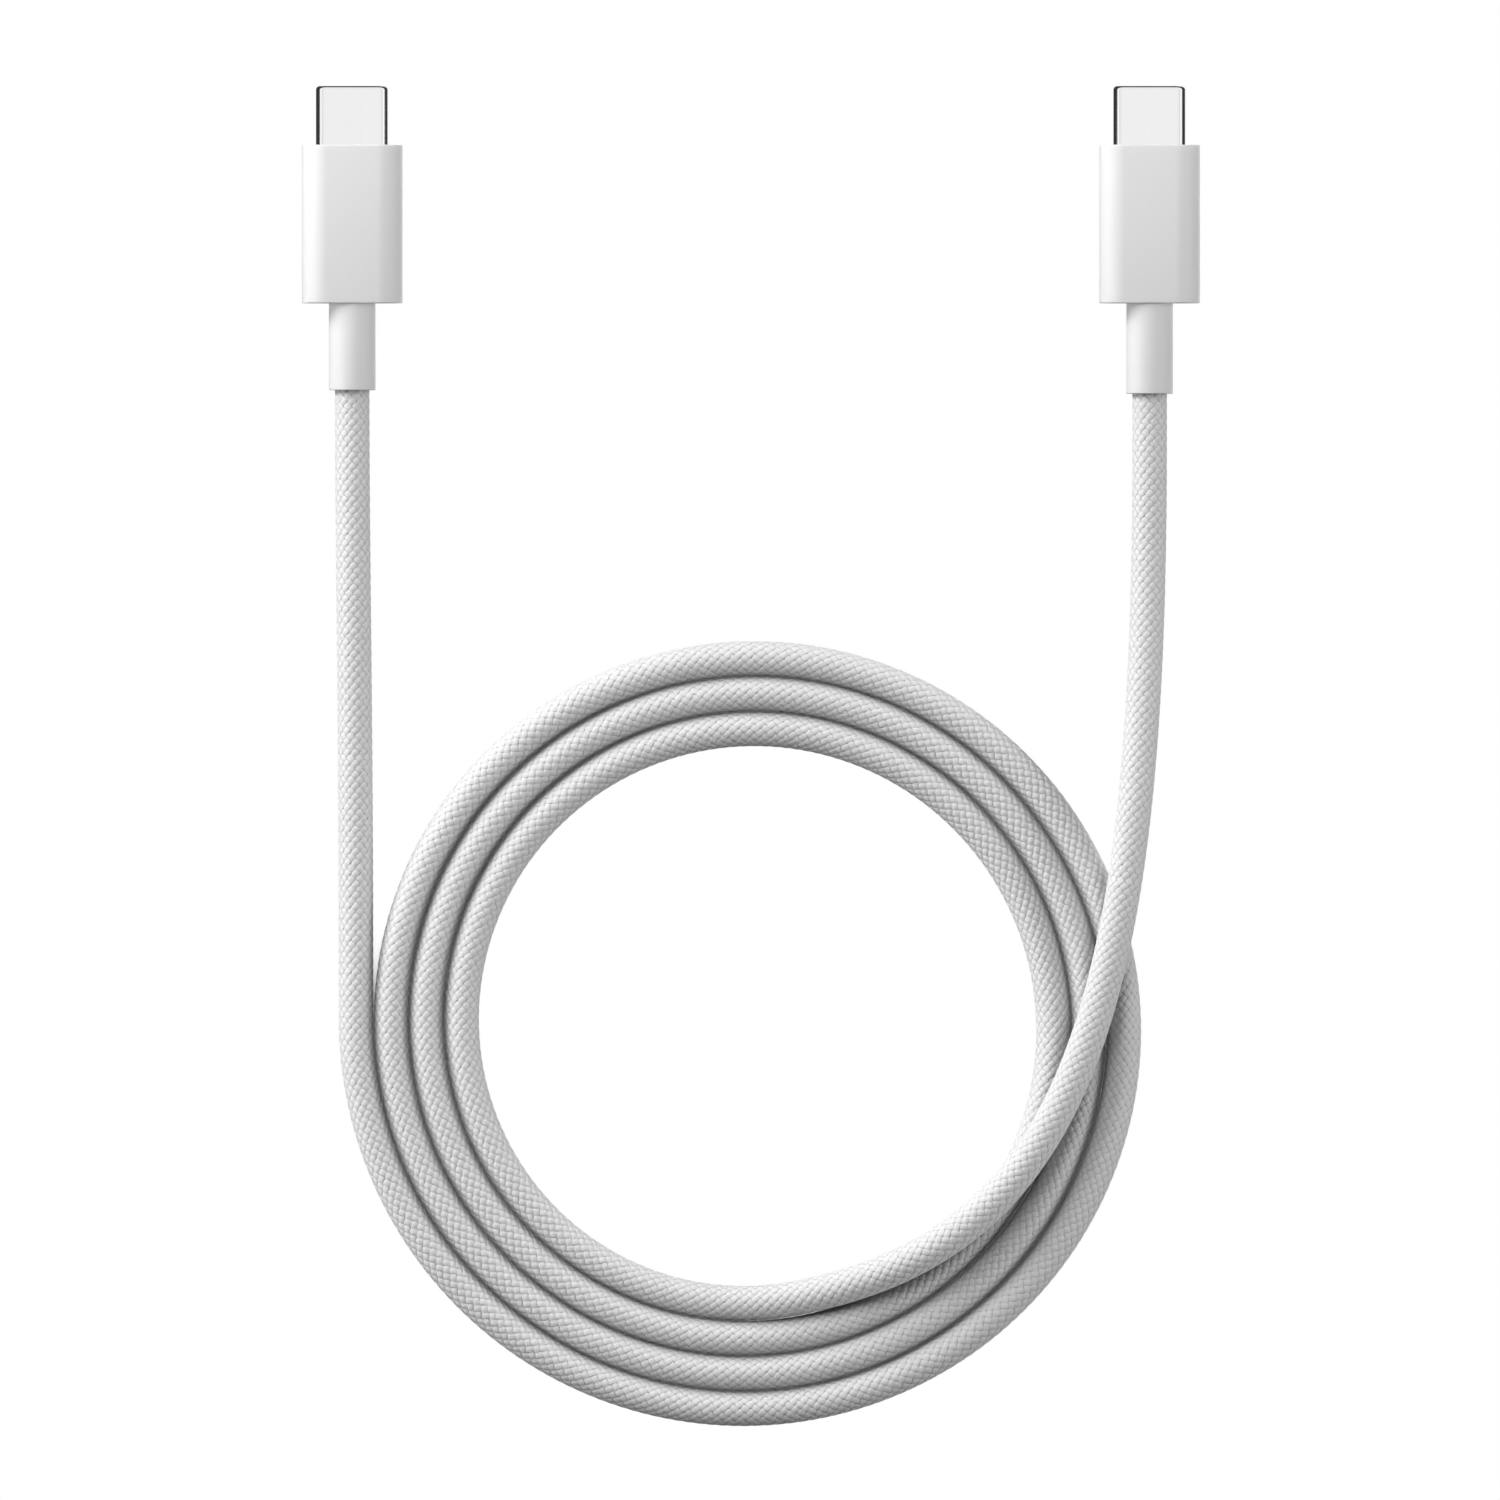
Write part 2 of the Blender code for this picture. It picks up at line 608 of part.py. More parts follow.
def build_stub(side, hinge_y):
    """The end of the cable, held in the strain relief: a sleeve, and the core inside it."""
    end = hinge_y + LINK_CUT
    sleeve_name = side + "_stub_sleeve"
    line = [Vector((0, STUB_FRONT, 0)), Vector((0, end, 0))]
    sleeve = tube(sleeve_name, line, CABLE_RADIUS, SLEEVE_WALL, 3, "braid_white")
    core_name = side + "_stub_core"
    core = prism_mesh(core_name, circle(CORE_RADIUS, 10), end, STUB_CORE_FRONT)
    return [sleeve, keep(core_name, core, "jacket_white")]


def build_board(side):
    """The circuit board, and the chip on top of it."""
    card_name, chip_name = side + "_paddle_card", side + "_emarker_chip"
    (width, height), (back, front) = CARD, CARD_SPAN
    low, high = (-width / 2, back, -height / 2), (width / 2, front, height / 2)
    card = keep(card_name, box_mesh(card_name, low, high), "board_green")
    (width, height), (back, front) = CHIP, CHIP_SPAN
    low, high = (-width / 2, back, CHIP_BOTTOM), (width / 2, front, CHIP_BOTTOM + height)
    chip = keep(chip_name, box_mesh(chip_name, low, high), "chip_black")
    return [card, chip]


def build_plug(side, hinge, hinge_y):
    """One plug. Its pieces hang from the plug's hinge, and the latch arms from their roots."""
    pieces = [
        build_housing(side),
        build_strain_relief(side),
        build_inner_mould(side),
        build_shell(side),
        build_insulator(side),
        build_bussed_contacts(side + "_vbus_contacts", VBUS_X, VBUS_BAR_AT),
        build_bussed_contacts(side + "_gnd_contacts", GROUND_X, GROUND_BAR_AT),
    ]
    for net, x in SIGNAL_CONTACTS.items():
        name = f"{side}_{net}_contact"
        pieces.append(keep(name, finger(name, x, 1), "contact_gold"))
    pieces += build_springs(side) + build_board(side) + build_cans(side)
    pieces += build_stub(side, hinge_y)
    front = Vector((PLUG_AXIS_X[side], FRONT_Y, PLUG_AXIS_Z))
    for piece in pieces:
        seat(piece, front, hinge)
    for part, hand in (("left", -1), ("right", 1)):
        name = f"{side}_latch_{part}"
        half = LATCH_HEIGHT / 2
        arm = keep(name, plate_mesh(name, latch_outline(hand), -half, half), "spring_steel")
        seat(arm, front + Vector((hand * LATCH_X, LATCH_ROOT, 0)), hinge)


# ---- Assembly -----------------------------------------------------------------------------------


def build_side(side):
    """One lead, hinge by hinge from the coil out, and the plug at its end."""
    lead = LEADS[side]
    stops = (LEAD_SWING_AT, LEAD_LIFT_AT, PLUG_NOD_AT, PLUG_SWING_AT)
    places = [point_along(lead, stop) for stop in stops]
    hinge = None
    names = ("lead_swing", "lead_lift", "plug_nod", "plug_swing")
    hinges = []
    for name, place in zip(names, places):
        hinge = pivot(f"{side}_{name}", place, hinge)
        hinges.append(hinge)
    links = ("lead_lower", "lead_middle", "lead_upper")
    for link, lower, upper, hinge in zip(links, places, places[1:], hinges):
        build_link(f"{side}_{link}", lower, upper, hinge)
    hinge_y = places[-1].y - FRONT_Y
    build_plug(side, hinges[-1], hinge_y)


build_coil()
for plug_side in ("left", "right"):
    build_side(plug_side)

bpy.context.view_layer.update()
for piece in parts.objects:
    if piece.type == "MESH":
        piece.data.shade_smooth()
        piece.data.set_sharp_from_angle(angle=radians(40))
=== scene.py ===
import json
from math import atan, cos, pi, radians, sin, tau

import bmesh
import bpy
import numpy as np
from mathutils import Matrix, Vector


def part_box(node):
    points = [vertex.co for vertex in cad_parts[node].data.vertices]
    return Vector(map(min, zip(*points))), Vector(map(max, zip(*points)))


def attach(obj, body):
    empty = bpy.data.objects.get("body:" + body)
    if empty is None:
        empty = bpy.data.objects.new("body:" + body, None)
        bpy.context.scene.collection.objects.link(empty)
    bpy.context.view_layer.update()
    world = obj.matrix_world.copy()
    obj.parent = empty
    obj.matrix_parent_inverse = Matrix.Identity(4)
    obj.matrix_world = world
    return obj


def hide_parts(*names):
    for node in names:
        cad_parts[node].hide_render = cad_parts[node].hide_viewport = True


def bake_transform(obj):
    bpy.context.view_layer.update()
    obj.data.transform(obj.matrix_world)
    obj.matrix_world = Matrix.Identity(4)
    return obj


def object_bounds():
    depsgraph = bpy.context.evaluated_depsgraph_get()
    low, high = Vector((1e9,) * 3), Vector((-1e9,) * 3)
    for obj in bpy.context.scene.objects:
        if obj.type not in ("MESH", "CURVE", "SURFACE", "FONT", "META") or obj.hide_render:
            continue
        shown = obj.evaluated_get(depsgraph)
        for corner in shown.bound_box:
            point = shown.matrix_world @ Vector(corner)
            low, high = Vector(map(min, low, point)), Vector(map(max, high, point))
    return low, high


# The looks of a white braided charging cable: a sleeve woven from real interlaced yarns, smooth moulded
# housings and strain reliefs, and drawn metal plugs with their contacts inside. Lengths in the cable's
# and the plugs' parts are in millimetres until a mesh is made.

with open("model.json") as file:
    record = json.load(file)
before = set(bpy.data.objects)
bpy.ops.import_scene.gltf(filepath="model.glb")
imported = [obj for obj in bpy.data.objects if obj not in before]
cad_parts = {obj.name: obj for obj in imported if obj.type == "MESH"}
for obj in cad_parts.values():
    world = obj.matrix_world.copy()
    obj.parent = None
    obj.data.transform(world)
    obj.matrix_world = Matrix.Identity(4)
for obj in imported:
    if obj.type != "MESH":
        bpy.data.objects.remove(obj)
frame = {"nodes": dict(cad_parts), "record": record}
cad_low, cad_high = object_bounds()

MM = 0.001
SIDES = ("left", "right")


def box_mm(node):
    low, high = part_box(node)
    return low / MM, high / MM


# ---- Materials ---------------------------------------------------------------------------------


class Nodes:
    """Adds nodes to one material and links them, so that a material reads as a short recipe."""

    def __init__(self, name):
        self.material = bpy.data.materials.new(name)
        self.material.use_nodes = True
        self.tree = self.material.node_tree
        self.tree.nodes.clear()
        self.output = self.add("ShaderNodeOutputMaterial")
        self.shader = self.add("ShaderNodeBsdfPrincipled")
        self.tree.links.new(self.shader.outputs[0], self.output.inputs["Surface"])

    def add(self, kind, **settings):
        node = self.tree.nodes.new(kind)
        for key, value in settings.items():
            setattr(node, key, value)
        return node

    def put(self, socket, value):
        """Sets a socket to a value, or links it to an output."""
        if isinstance(value, bpy.types.NodeSocket):
            self.tree.links.new(value, socket)
        else:
            socket.default_value = value

    def set(self, **values):
        for key, value in values.items():
            self.put(self.shader.inputs[key.replace("_", " ")], value)

    def math(self, operation, a, b=0.0, c=0.0, clamp=False):
        node = self.add("ShaderNodeMath", operation=operation, use_clamp=clamp)
        for socket, value in zip(node.inputs, (a, b, c)):
            self.put(socket, value)
        return node.outputs[0]

    def mix(self, factor, a, b):
        node = self.add("ShaderNodeMix", data_type="RGBA")
        self.put(node.inputs[0], factor)
        self.put(node.inputs[6], a)
        self.put(node.inputs[7], b)
        return node.outputs[2]

    def tint(self, tone, shares):
        """A colour from one tone, with a share of it in red, green and blue."""
        node = self.add("ShaderNodeCombineColor")
        for socket, share in zip(node.inputs, shares):
            self.put(socket, self.math("MULTIPLY", tone, share))
        return node.outputs[0]

    def noise(self, scale, detail=2.0, roughness=0.5, vector=None):
        node = self.add("ShaderNodeTexNoise")
        for key, value in (("Scale", scale), ("Detail", detail), ("Roughness", roughness)):
            node.inputs[key].default_value = value
        self.put(node.inputs["Vector"], vector or self.place())
        return node.outputs["Fac"]

    def place(self):
        return self.add("ShaderNodeTexCoord").outputs["Object"]

    def attribute(self, name):
        return self.add("ShaderNodeAttribute", attribute_name=name).outputs["Vector"]

    def split(self, vector):
        node = self.add("ShaderNodeSeparateXYZ")
        self.put(node.inputs[0], vector)
        return node.outputs

    def either(self, factor, a, b):
        """Shader a where the factor is 0, and shader b where it is 1."""
        node = self.add("ShaderNodeMixShader")
        for socket, value in zip(node.inputs, (factor, a, b)):
            self.put(socket, value)
        return node.outputs[0]

    def openness(self, reach, samples=4):
        """1 in the open, less in a groove or hollow that is narrow next to the reach."""
        node = self.add("ShaderNodeAmbientOcclusion", samples=samples)
        node.inputs["Distance"].default_value = reach
        return node.outputs["AO"]

    def bump(self, height, distance, strength=1.0):
        node = self.add("ShaderNodeBump")
        node.inputs["Distance"].default_value = distance
        node.inputs["Strength"].default_value = strength
        self.put(node.inputs["Height"], height)
        return node.outputs[0]


def grey(value):
    return (value, value, value, 1.0)


FILAMENTS = 5  # fine filaments side by side in one yarn
YARN_COLOR = (0.79, 0.795, 0.79)
YARN_SHADES = 0.03  # how far the yarns differ in shade
EDGE_START, EDGE_SLOPE, EDGE_PAINTED_SHADE = 0.72, 4.0, 0.4  # painted shade along the edges of a yarn, where it dips under its neighbours
CREVICE_REACH, CREVICE_PAINTED_SHADE = 0.0025, 0.6  # reach in m; painted shade in the weave's crevices and in the grooves between the coil's turns
FILAMENT_BUMP = 0.00001  # m
# painted shade: the liner is darker than the white jacket, so the braid's gaps read as shade
LINER_SHADE_LEVEL = 0.42
SATIN_SHARES = (0.995, 1.0, 0.998)  # of the level, in red, green and blue
SATIN_BUMP = 0.000004  # m


def yarn_material():
    """White filament yarn: fine filaments along it, each yarn a little different in shade, with painted
    shade between its filaments, along its edges and in its crevices.
    """
    n = Nodes("braid_yarn")
    across, _, shade = n.split(n.attribute("weave"))
    wave = n.math("SINE", n.math("MULTIPLY", across, FILAMENTS * pi))
    filament = n.math("MULTIPLY_ADD", wave, 0.5, 0.5)
    slub = n.noise(900.0, detail=3.0)
    # painted shade: the yarn's colour darkens towards its edges, standing in for the shade between
    # cells of the weave
    past_edge = n.math("SUBTRACT", n.math("ABSOLUTE", across), EDGE_START)
    outer = n.math("MULTIPLY", past_edge, EDGE_SLOPE, clamp=True)
    # painted shade: the yarn's colour darkens where the weave or the neighbouring turns hem it in
    openness = n.openness(CREVICE_REACH)
    # painted shade: darker in the grooves between the filaments
    tone = n.math("MULTIPLY_ADD", filament, 0.08, 0.92)
    for source, change, base in (
        (outer, -EDGE_PAINTED_SHADE, 1.0),
        (openness, CREVICE_PAINTED_SHADE, 1 - CREVICE_PAINTED_SHADE),
        (shade, YARN_SHADES, 1 - YARN_SHADES),
        (slub, 0.08, 0.96),
    ):
        tone = n.math("MULTIPLY", tone, n.math("MULTIPLY_ADD", source, change, base))
    n.set(Base_Color=n.tint(tone, YARN_COLOR), Roughness=n.math("MULTIPLY_ADD", slub, 0.2, 0.5))
    n.set(Sheen_Weight=0.15, Sheen_Roughness=0.5)
    height = n.math("ADD", filament, n.math("MULTIPLY", slub, 0.4))
    n.set(Normal=n.bump(height, FILAMENT_BUMP, 0.6))
    return n.material


def liner_material():
    """The jacket under the braid, seen only through its smallest gaps, painted grey as the shade in
    them.
    """
    n = Nodes("jacket_liner")
    tone = n.math("MULTIPLY_ADD", n.noise(400.0), 0.1, LINER_SHADE_LEVEL)
    n.set(Base_Color=n.tint(tone, (1.0, 1.0, 1.0)), Roughness=0.6)
    return n.material


def moulded_material(name, level, roughness):
    """Satin moulded plastic: a very fine spark-eroded texture and faint flow variation."""
    n = Nodes(name)
    grain = n.noise(5200.0, detail=3.0, roughness=0.6)
    flow = n.noise(60.0, detail=2.0)
    tone = n.math("MULTIPLY_ADD", flow, 0.015, level - 0.008)
    n.set(Base_Color=n.tint(tone, SATIN_SHARES))
    n.set(Roughness=n.math("MULTIPLY_ADD", grain, 0.12, roughness - 0.06))
    n.set(Subsurface_Weight=0.3, Subsurface_Scale=0.0008, Subsurface_Radius=(1.0, 1.0, 1.0))
    n.set(Normal=n.bump(grain, SATIN_BUMP, 0.35))
    return n.material


STREAKS_ALONG, STREAKS_ACROSS = 60, 2500  # how fine the drawing lines are, per metre


def metal_material(name, color, roughness, streak_axis="Y", wear=0.05):
    """Plated metal with fine drawing lines along one axis and a little wear in its gloss."""
    n = Nodes(name)
    stretch = n.add("ShaderNodeMapping")
    scale = [STREAKS_ALONG if axis == streak_axis else STREAKS_ACROSS for axis in "XYZ"]
    stretch.inputs["Scale"].default_value = scale
    n.put(stretch.inputs["Vector"], n.place())
    lines = n.noise(1.0, detail=4.0, vector=stretch.outputs[0])
    patches = n.noise(350.0, detail=3.0)
    gloss = n.math("MULTIPLY_ADD", lines, wear, roughness - wear / 2)
    gloss = n.math("MULTIPLY_ADD", patches, wear, n.math("SUBTRACT", gloss, wear / 2))
    tone = n.mix(lines, (*[c * 0.96 for c in color], 1), (*color, 1))
    n.set(Base_Color=tone, Metallic=1.0, Roughness=gloss)
    n.set(Normal=n.bump(lines, 0.0000015, 0.25))
    return n.material


def painted_material(name, color, roughness, scale=1500.0, variation=0.15):
    """Plain coated or moulded stuff with a mottled shade and a fine bump."""
    n = Nodes(name)
    mottle = n.noise(scale, detail=3.0)
    dark = (*[c * (1 - variation) for c in color], 1)
    n.set(Base_Color=n.mix(mottle, dark, (*color, 1)))
    n.set(Roughness=n.math("MULTIPLY_ADD", mottle, 0.15, roughness - 0.07))
    n.set(Normal=n.bump(mottle, 0.00001, 0.3))
    return n.material


YARN = yarn_material()
LINER = liner_material()
SATIN = moulded_material("housing_satin", 0.82, 0.34)
RELIEF = moulded_material("relief_satin", 0.80, 0.42)
METAL = metal_material("plug_plating", (0.92, 0.92, 0.925), 0.13)
BLACK = painted_material("contact_carrier", (0.035, 0.035, 0.04), 0.45)

CAD_FINISH = {
    "jacket": painted_material("jacket_white", (0.78, 0.78, 0.76), 0.55),
    "foil": metal_material("shield_foil", (0.78, 0.79, 0.8), 0.25, "X", 0.12),
    "inner_mould": painted_material("inner_moulding", (0.55, 0.56, 0.58), 0.6),
    "contact_gold": metal_material("contact_gold", (0.95, 0.72, 0.35), 0.22, "Y"),
    "spring_steel": metal_material("spring_steel", (0.62, 0.62, 0.64), 0.28, "Y"),
    "board": painted_material("solder_mask", (0.02, 0.16, 0.08), 0.35, 900.0, 0.3),
    "chip": painted_material("chip_package", (0.025, 0.025, 0.028), 0.5),
    "insulator": BLACK,
    "wire_red": painted_material("insulation_red", (0.70, 0.03, 0.03), 0.4),
    "wire_black": painted_material("insulation_black", (0.025, 0.025, 0.025), 0.4),
    "wire_green": painted_material("insulation_green", (0.03, 0.40, 0.10), 0.4),
    "wire_white": painted_material("insulation_white", (0.85, 0.85, 0.85), 0.4),
    "wire_blue": painted_material("insulation_blue", (0.04, 0.15, 0.60), 0.4),
    "braid": YARN,
    "housing": SATIN,
    "plug_metal": METAL,
}

for part in frame["record"]["subparts"]:
    node = frame["nodes"][part["node"]]
    node.data.materials.clear()
    node.data.materials.append(CAD_FINISH[part["material_slot"]])


# ---- Mesh helpers ------------------------------------------------------------------------------


def add_piece(name, mesh, material):
    piece = bpy.data.objects.new(name, mesh)
    bpy.context.scene.collection.objects.link(piece)
    mesh.materials.append(material)
    return piece


def grid_mesh(name, points):
    """A mesh of tubes. points has the shape (tubes, rows along, points round, 3), in mm."""
    tubes, rows, cols, _ = points.shape
    mesh = bpy.data.meshes.new(name)
    mesh.vertices.add(tubes * rows * cols)
    mesh.vertices.foreach_set("co", (points * MM).astype(np.float32).ravel())
    ranges = np.arange(tubes), np.arange(rows - 1), np.arange(cols)
    tube, row, col = np.meshgrid(*ranges, indexing="ij")
    beside = (col + 1) % cols
    first = (tube * rows + row) * cols
    quads = np.stack([first + col, first + beside, first + cols + beside, first + cols + col], -1)
    quads = quads.reshape(-1, 4)
    mesh.loops.add(quads.size)
    mesh.loops.foreach_set("vertex_index", quads.astype(np.int32).ravel())
    mesh.polygons.add(len(quads))
    mesh.polygons.foreach_set("loop_start", np.arange(0, quads.size, 4, dtype=np.int32))
    mesh.update(calc_edges=True)
    mesh.shade_smooth()
    return mesh


FRONT, BACK = 1, -1  # towards a plug's tip, and towards its cable
OUTLINE_POINTS = 96
SHARP_EDGE = radians(50)


def outline(reach, radius):
    """A stadium outline in X and Z: two half circles whose centres are reach from the middle."""
    half = OUTLINE_POINTS // 2
    turn = -pi / 2 + (np.arange(half) + 0.5) * pi / half
    x = reach + radius * np.cos(turn)
    z = radius * np.sin(turn)
    return np.stack([np.concatenate([x, -x]), np.concatenate([z, -z])], -1)


def lofted(name, rings, centre):
    """A skin through stadium rings, each (reach, radius, place along Y), round a centre point."""
    rows = []
    for reach, radius, y in rings:
        xz = outline(reach, radius)
        rows.append(np.stack([xz[:, 0], np.full(OUTLINE_POINTS, y), xz[:, 1]], -1))
    points = np.array(rows)[None] + np.array(centre)
    mesh = grid_mesh(name, points)
    bm = bmesh.new()
    bm.from_mesh(mesh)
    bmesh.ops.recalc_face_normals(bm, faces=bm.faces)
    bm.to_mesh(mesh)
    bm.free()
    mesh.shade_smooth()
    mesh.set_sharp_from_angle(angle=SHARP_EDGE)
    return mesh


def fillet(reach, radius, y, size, facing, steps=5):
    """Rings round an edge at (radius, y): from the flat end into the side, or the other way.

    facing is FRONT or BACK, the way the flat end faces."""
    rings = []
    for i in range(steps + 1):
        turn = pi / 2 * i / steps
        rings.append((reach, radius - size * (1 - sin(turn)), y - facing * size * (1 - cos(turn))))
    return rings if facing == FRONT else rings[::-1]


# ---- The cable's centre line -------------------------------------------------------------------

CABLE_RADIUS = 1.95
COIL_RADIUS = 44.7
COIL_PITCH = 4.01
COIL_START, COIL_END = 180.0, 1360.0  # angles that the spiral runs between
CROSSING_HEIGHT = CABLE_RADIUS + COIL_PITCH
RISE_BEFORE, RISE_AFTER = 10.0, 20.0
LEFT_RELIEF_REACH, LEFT_COIL_REACH = 20.0, 40.0
LEFT_DROP = (5.0, 60.0)
RIGHT_BEND_AT = 65.9
RIGHT_BEND_REACH, COIL_END_REACH = 64.3, 32.5
RIGHT_DROP = (14.0, 58.0)
COIL_FROM_FRONT = (-0.25, -100.13)  # coil's centre, from the middle of the housings' front faces
INSIDE_RELIEF = 1.6  # the braid runs on this far inside each strain relief
LEFT_STEPS, COIL_STEPS, RIGHT_STEPS, STRAIGHT_STEPS = 400, 6000, 900, 80

HOUSING = {side: box_mm(f"{side}_housing") for side in SIDES}
COIL_CENTRE = np.array([COIL_FROM_FRONT[0], HOUSING["left"][1].y + COIL_FROM_FRONT[1]])
PLUG_X = {side: (HOUSING[side][0].x + HOUSING[side][1].x) / 2 for side in SIDES}
PLUG_Z = HOUSING["left"][1].z / 2
RELIEF_END = {side: box_mm(f"{side}_strain_relief")[0].y for side in SIDES}


def smoothstep(value):
    value = np.clip(value, 0, 1)
    return value * value * (3 - 2 * value)


def bezier(a, b, c, d, count):
    t = np.linspace(0, 1, count)[:, None]
    a, b, c, d = (np.array(p, float) for p in (a, b, c, d))
    return a * (1 - t) ** 3 + 3 * b * t * (1 - t) ** 2 + 3 * c * t**2 * (1 - t) + d * t**3


def plan_length(plan):
    return np.concatenate([[0], np.cumsum(np.linalg.norm(np.diff(plan, axis=0), axis=1))])


def spiral(angle):
    """Plan points of the coil's centre line, from 180 degrees on."""
    radius = COIL_RADIUS - COIL_PITCH * (angle - COIL_START) / 360
    turn = np.radians(angle)
    return COIL_CENTRE + radius[:, None] * np.stack([np.cos(turn), np.sin(turn)], -1)


def up_share(plan, drop):
    """How far each place is up the stretch where a lead rises to the plug's height."""
    return smoothstep((plan[:, 1] - COIL_CENTRE[1] - drop[0]) / (drop[1] - drop[0]))


def centre_line():
    """(points, distance along) of the whole cable, from the left strain relief to the right one."""
    left_top = np.array([PLUG_X["left"], RELIEF_END["left"]])
    coil_start = spiral(np.array([COIL_START]))[0]
    below, above = left_top - (0, LEFT_RELIEF_REACH), coil_start + (0, LEFT_COIL_REACH)
    left = bezier(left_top, below, above, coil_start, LEFT_STEPS)
    left_z = CABLE_RADIUS + (PLUG_Z - CABLE_RADIUS) * up_share(left, LEFT_DROP)

    coil = spiral(np.linspace(COIL_START, COIL_END, COIL_STEPS))
    coil_end = coil[-1]
    onward = coil[-1] - coil[-2]
    coil_to_go = plan_length(coil[::-1])[::-1]

    right_top = np.array([PLUG_X["right"], RELIEF_END["right"]])
    bend = np.array([PLUG_X["right"], COIL_CENTRE[1] + RIGHT_BEND_AT])
    beyond = coil_end + onward / np.linalg.norm(onward) * COIL_END_REACH
    right = bezier(coil_end, beyond, bend - (0, RIGHT_BEND_REACH), bend, RIGHT_STEPS)
    straight = bend + (right_top - bend) * np.linspace(0, 1, STRAIGHT_STEPS)[:, None]
    right = np.concatenate([right, straight[1:]])

    def lift(past_end):
        share = smoothstep((RISE_BEFORE + past_end) / (RISE_BEFORE + RISE_AFTER))
        return CABLE_RADIUS + (CROSSING_HEIGHT - CABLE_RADIUS) * share

    right_z = lift(plan_length(right))
    right_z += (PLUG_Z - right_z) * up_share(right, RIGHT_DROP)

    plan = np.concatenate([left[:-1], coil[:-1], right])
    z = np.concatenate([left_z[:-1], lift(-coil_to_go)[:-1], right_z])
    points = np.concatenate([plan, z[:, None]], 1)
    start = points[:1] + (0, INSIDE_RELIEF, 0)
    stop = points[-1:] + (0, INSIDE_RELIEF, 0)
    points = np.concatenate([start, points, stop])
    steps = np.linalg.norm(np.diff(points, axis=0), axis=1)
    return points, np.concatenate([[0], np.cumsum(steps)]) - INSIDE_RELIEF


LINE, ALONG = centre_line()
LENGTH = ALONG[-1] - INSIDE_RELIEF
TANGENT = np.gradient(LINE, ALONG, axis=0)
TANGENT /= np.linalg.norm(TANGENT, axis=1)[:, None]
ACROSS = np.stack([-TANGENT[:, 1], TANGENT[:, 0], np.zeros(len(LINE))], -1)
ACROSS /= np.linalg.norm(ACROSS, axis=1)[:, None]
UPWARD = np.cross(TANGENT, ACROSS)


def on_cable(distance, turn, radius):
    """Points at a distance along the cable, a turn round it and a radius from its centre line."""

    def at(table):
        return np.stack([np.interp(distance, ALONG, table[:, i]) for i in range(3)], -1)

    side = at(ACROSS) * (radius * np.cos(turn))[..., None]
    return at(LINE) + side + at(UPWARD) * (radius * np.sin(turn))[..., None]


# ---- The braid: twelve yarns each way, over one and under one ----------------------------------

YARNS_EACH_WAY = 12
LAY = 15.0  # length of cable in which a yarn goes once round
CROSSING = LAY / (2 * YARNS_EACH_WAY)  # length of cable between two crossings of a yarn
WEAVE_RADIUS = 1.84  # of the surface that the yarns weave about
WEAVE_RISE = 0.05  # how far a yarn rises over the other, or dips under it
YARN_HALF_WIDTH = 0.425
YARN_CROWN = 0.09
YARN_BACK = 0.05
FLOAT_SHARE = 0.36  # part of a crossing's length, each side of its middle, that stays level
LINER_RADIUS, LINER_STEP, LINER_SIDES = 1.77, 1.2, 20
YARN_ANGLE = atan(tau * WEAVE_RADIUS / LAY)
END_GAP = 0.01  # no row of a yarn's points comes nearer than this to the yarn's end

# A yarn's section: places across it, from -1 to 1, and heights. Its back is one point more.
HALF_SECTION = np.array([(1, -0.45), (0.88, 0.2), (0.5, 0.76), (0, 1)])
SECTION = np.concatenate([HALF_SECTION * (-1, 1), HALF_SECTION[-2::-1]])
SECTION_ACROSS = np.append(SECTION[:, 0], 0.0)
SECTION_HEIGHT = np.append(SECTION[:, 1] * YARN_CROWN, -YARN_BACK)


def weave_state(distance):
    """1 where the first family of yarns is over, -1 where it is under, sloping between."""
    crossing = distance / CROSSING
    nearest = np.round(crossing)
    slope = (0.5 - np.abs(crossing - nearest)) / (0.5 - FLOAT_SHARE)
    return np.where(nearest % 2 == 0, 1.0, -1.0) * np.minimum(slope, 1.0)


def braid_mesh(name, start, stop):
    """All the yarns between two distances along the cable."""
    middles = np.arange(np.floor(start / CROSSING) - 1, np.ceil(stop / CROSSING) + 2)
    stations = np.concatenate([middles - FLOAT_SHARE, middles + FLOAT_SHARE]) * CROSSING
    stations = np.sort(stations[(stations > start + END_GAP) & (stations < stop - END_GAP)])
    stations = np.concatenate([[start], stations, [stop]])
    state = weave_state(stations)
    rows, cols = len(stations), len(SECTION_ACROSS)
    points, weave = [], []
    sideways = SECTION_ACROSS * YARN_HALF_WIDTH
    for hand in (1, -1):
        for i in range(YARNS_EACH_WAY):
            first_turn = tau * i / YARNS_EACH_WAY
            turn = first_turn + hand * tau * stations / LAY
            distance = stations[:, None] - hand * sin(YARN_ANGLE) * sideways
            turned = turn[:, None] + cos(YARN_ANGLE) / WEAVE_RADIUS * sideways
            radius = WEAVE_RADIUS + WEAVE_RISE * hand * state[:, None] + SECTION_HEIGHT
            points.append(on_cable(distance, turned, radius))
            shade = (i * 7 + (hand + 1) * 3) % YARNS_EACH_WAY / YARNS_EACH_WAY
            across = np.broadcast_to(SECTION_ACROSS, (rows, cols))
            along = np.broadcast_to(stations[:, None], (rows, cols))
            weave.append(np.stack([across, along, np.full((rows, cols), shade)], -1))
    mesh = grid_mesh(name, np.array(points))
    attribute = mesh.attributes.new("weave", "FLOAT_VECTOR", "POINT")
    attribute.data.foreach_set("vector", np.array(weave, np.float32).ravel())
    return mesh


